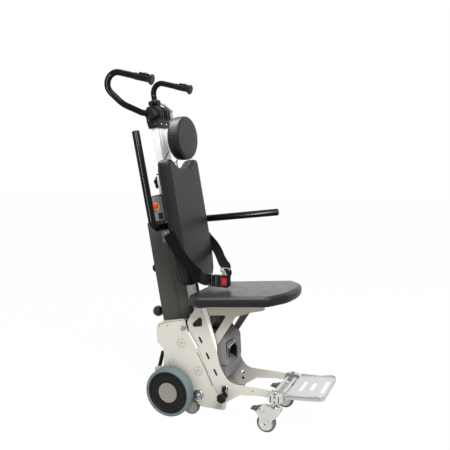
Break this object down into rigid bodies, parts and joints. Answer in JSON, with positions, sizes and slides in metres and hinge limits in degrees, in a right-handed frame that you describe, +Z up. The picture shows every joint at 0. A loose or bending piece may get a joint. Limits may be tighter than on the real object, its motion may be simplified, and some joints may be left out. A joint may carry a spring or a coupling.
{
  "type": "portable stair climber",
  "caption": "Portable stair climber with a padded seat, folding arms and footrest, a telescopic mast and a powered climbing drive.",
  "frame": {"origin": "on the floor under the middle of the overall length and width", "axes": "+Z up, -Y towards the footrest, which is the way the seated person faces, +X towards that person's left"},
  "size_m": [0.4292, 0.8789, 1.3892],
  "materials": {
    "aluminium": "anodised",
    "black_plastic": "satin",
    "castor_grey": "silver paint",
    "castor_tyre": "moulded",
    "chrome": "polished",
    "cream_paint": "powder coated",
    "dark_cover": "fine texture",
    "gloss_black": "smooth",
    "grey_plastic": "fine texture",
    "red": "smooth",
    "rim_black": "moulded",
    "tyre_grey": "solid tyre",
    "upholstery": "coated upholstery",
    "webbing": "woven webbing"
  },
  "bodies": {
    "chassis": {"armrest_hinge": "black_plastic", "backrest_board": "black_plastic", "backrest_cushion": "upholstery", "base_plate": "cream_paint", "belt_left": "webbing", "belt_right": "webbing", "buckle": "black_plastic", "control_head": "black_plastic", "drive_plate_left": "cream_paint", "drive_plate_right": "cream_paint", "front_cover": "dark_cover", "front_crossbar": "castor_grey", "gear_motor": "grey_plastic", "leg_plate_left": "cream_paint", "leg_plate_right": "cream_paint", "main_axle": "chrome", "outer_mast": "aluminium", "rear_housing": "dark_cover", "seat_cushion": "upholstery", "seat_frame": "cream_paint"},
    "wheel_right": {"tyre_right": "tyre_grey", "wheel_rim_right": "rim_black"},
    "wheel_left": {"tyre_left": "tyre_grey", "wheel_rim_left": "rim_black"},
    "climb_drive": {"climb_shaft": "chrome", "climbing_arm_right": "black_plastic", "climbing_arm_left": "black_plastic"},
    "climbing_wheel_right": {"climbing_wheel_right": "castor_grey"},
    "climbing_wheel_left": {"climbing_wheel_left": "castor_grey"},
    "castor_fork_right": {"castor_fork_right": "castor_grey"},
    "castor_fork_left": {"castor_fork_left": "castor_grey"},
    "castor_wheel_right": {"castor_wheel_right": "castor_tyre"},
    "castor_wheel_left": {"castor_wheel_left": "castor_tyre"},
    "castor_brake_right": {"castor_brake_right": "black_plastic"},
    "castor_brake_left": {"castor_brake_left": "black_plastic"},
    "footrest": {"footrest": "castor_grey"},
    "armrest_right": {"armrest_right": "gloss_black"},
    "armrest_left": {"armrest_left": "gloss_black"},
    "inner_mast": {"inner_mast": "aluminium", "head_block": "black_plastic"},
    "handle_lock_knob": {"handle_lock_knob": "black_plastic"},
    "handle_right": {"handle_right": "gloss_black", "grip_right": "black_plastic"},
    "handle_left": {"handle_left": "gloss_black", "grip_left": "black_plastic"},
    "thumb_button_right": {"thumb_button_right": "grey_plastic"},
    "thumb_button_left": {"thumb_button_left": "grey_plastic"},
    "headrest": {"headrest_rod": "chrome", "headrest_cushion": "upholstery"},
    "ball_knob": {"ball_knob": "black_plastic"},
    "lock_plunger": {"lock_plunger": "black_plastic"},
    "chassis_knob_right": {"chassis_knob_right": "black_plastic"},
    "chassis_knob_left": {"chassis_knob_left": "black_plastic"},
    "column_knob": {"column_knob": "black_plastic"},
    "mast_lock_knob": {"mast_lock_knob": "black_plastic"},
    "estop_button": {"estop_button": "red"},
    "power_switch": {"power_switch": "black_plastic"},
    "battery_pack": {"battery_pack": "grey_plastic"},
    "buckle_button": {"buckle_button": "red"},
    "brake_lever": {"brake_lever": "black_plastic"}
  },
  "joints": [
    {"name": "wheel_right_roll", "type": "hinge", "parent": "chassis", "child": "wheel_right", "pos_m": [-0.157, 0.194, 0.1], "axis": [1, 0, 0], "continuous": true},
    {"name": "wheel_left_roll", "type": "hinge", "parent": "chassis", "child": "wheel_left", "pos_m": [0.157, 0.194, 0.1], "axis": [1, 0, 0], "continuous": true},
    {"name": "climb_drive_turn", "type": "hinge", "parent": "chassis", "child": "climb_drive", "pos_m": [0, 0.077, 0.091], "axis": [1, 0, 0], "continuous": true},
    {"name": "climbing_wheel_right_roll", "type": "hinge", "parent": "climb_drive", "child": "climbing_wheel_right", "pos_m": [-0.0985, 0.1177, 0.036], "axis": [1, 0, 0], "continuous": true},
    {"name": "castor_right_swivel", "type": "hinge", "parent": "chassis", "child": "castor_fork_right", "pos_m": [-0.124, -0.254, 0.103], "axis": [0, 0, 1], "continuous": true},
    {"name": "castor_right_roll", "type": "hinge", "parent": "castor_fork_right", "child": "castor_wheel_right", "pos_m": [-0.124, -0.219, 0.0375], "axis": [1, 0, 0], "continuous": true},
    {"name": "castor_right_brake", "type": "hinge", "parent": "castor_fork_right", "child": "castor_brake_right", "pos_m": [-0.124, -0.196, 0.092], "axis": [-1, 0, 0], "range_deg": [0, 14]},
    {"name": "climbing_wheel_left_roll", "type": "hinge", "parent": "climb_drive", "child": "climbing_wheel_left", "pos_m": [0.0985, 0.1177, 0.036], "axis": [1, 0, 0], "continuous": true},
    {"name": "castor_left_swivel", "type": "hinge", "parent": "chassis", "child": "castor_fork_left", "pos_m": [0.124, -0.254, 0.103], "axis": [0, 0, 1], "continuous": true},
    {"name": "castor_left_roll", "type": "hinge", "parent": "castor_fork_left", "child": "castor_wheel_left", "pos_m": [0.124, -0.219, 0.0375], "axis": [1, 0, 0], "continuous": true},
    {"name": "castor_left_brake", "type": "hinge", "parent": "castor_fork_left", "child": "castor_brake_left", "pos_m": [0.124, -0.196, 0.092], "axis": [-1, 0, 0], "range_deg": [0, 14]},
    {"name": "footrest_fold", "type": "hinge", "parent": "chassis", "child": "footrest", "pos_m": [0, -0.27, 0.142], "axis": [-1, 0, 0], "range_deg": [0, 85]},
    {"name": "armrest_right_swing", "type": "hinge", "parent": "chassis", "child": "armrest_right", "pos_m": [-0.096, 0.22277, 0.77468], "axis": [1, 0, 0], "range_deg": [0, 94.2]},
    {"name": "armrest_left_swing", "type": "hinge", "parent": "chassis", "child": "armrest_left", "pos_m": [0.096, 0.22277, 0.77468], "axis": [1, 0, 0], "range_deg": [-94.2, 0]},
    {"name": "mast_extend", "type": "slide", "parent": "chassis", "child": "inner_mast", "axis": [0, 0.1771, 0.9842], "range_m": [-0.14, 0.075]},
    {"name": "handle_lock_knob_turn", "type": "hinge", "parent": "inner_mast", "child": "handle_lock_knob", "pos_m": [0, 0.31965, 1.25664], "axis": [0, 0.1771, 0.9842], "continuous": true},
    {"name": "handle_right_tilt", "type": "hinge", "parent": "inner_mast", "child": "handle_right", "pos_m": [-0.0503, 0.30164, 1.22432], "axis": [1, 0, 0], "range_deg": [-15, 60]},
    {"name": "handle_left_tilt", "type": "hinge", "parent": "inner_mast", "child": "handle_left", "pos_m": [0.0503, 0.30164, 1.22432], "axis": [1, 0, 0], "range_deg": [-15, 60]},
    {"name": "thumb_button_right_press", "type": "slide", "parent": "handle_right", "child": "thumb_button_right", "axis": [-0.02, 0.197, -0.9802], "range_m": [0, 0.003], "stiffness_N_per_m": 400, "springref_m": -0.001},
    {"name": "thumb_button_left_press", "type": "slide", "parent": "handle_left", "child": "thumb_button_left", "axis": [0.02, 0.197, -0.9802], "range_m": [0, 0.003], "stiffness_N_per_m": 400, "springref_m": -0.001},
    {"name": "headrest_height", "type": "slide", "parent": "chassis", "child": "headrest", "axis": [0, 0.1771, 0.9842], "range_m": [0, 0.05]},
    {"name": "ball_knob_pull", "type": "slide", "parent": "chassis", "child": "ball_knob", "axis": [0, 0.9842, -0.1771], "range_m": [0, 0.012], "stiffness_N_per_m": 300, "springref_m": -0.002},
    {"name": "lock_plunger_pull", "type": "slide", "parent": "chassis", "child": "lock_plunger", "axis": [-1, 0, 0], "range_m": [0, 0.01], "stiffness_N_per_m": 300, "springref_m": -0.002},
    {"name": "chassis_knob_right_turn", "type": "hinge", "parent": "chassis", "child": "chassis_knob_right", "pos_m": [-0.104, -0.0375, 0.1085], "axis": [1, 0, 0], "continuous": true},
    {"name": "chassis_knob_left_turn", "type": "hinge", "parent": "chassis", "child": "chassis_knob_left", "pos_m": [0.104, -0.0375, 0.1085], "axis": [1, 0, 0], "continuous": true},
    {"name": "column_knob_turn", "type": "hinge", "parent": "chassis", "child": "column_knob", "pos_m": [0, 0.30043, 0.58341], "axis": [0, 0.9842, -0.1771], "continuous": true},
    {"name": "mast_lock_knob_turn", "type": "hinge", "parent": "chassis", "child": "mast_lock_knob", "pos_m": [0, 0.28688, 0.94858], "axis": [0, 0.9842, -0.1771], "continuous": true},
    {"name": "estop_press", "type": "slide", "parent": "chassis", "child": "estop_button", "axis": [1, 0, 0], "range_m": [0, 0.004]},
    {"name": "power_switch_rock", "type": "hinge", "parent": "chassis", "child": "power_switch", "pos_m": [-0.0725, 0.2558, 0.81141], "axis": [0, 0.9842, -0.1771], "range_deg": [0, 16]},
    {"name": "battery_pack_slide", "type": "slide", "parent": "chassis", "child": "battery_pack", "axis": [0, -1, 0], "range_m": [0, 0.15]},
    {"name": "buckle_button_press", "type": "slide", "parent": "chassis", "child": "buckle_button", "axis": [1, 0, 0], "range_m": [0, 0.002], "stiffness_N_per_m": 400, "springref_m": -0.001},
    {"name": "brake_lever_tilt", "type": "hinge", "parent": "chassis", "child": "brake_lever", "pos_m": [-0.093, 0.265, 0.1755], "axis": [1, 0, 0], "range_deg": [0, 25]}
  ],
  "couplings": [
    {"joint": "handle_left_tilt", "follows": "handle_right_tilt", "ratio": 1}
  ]
}
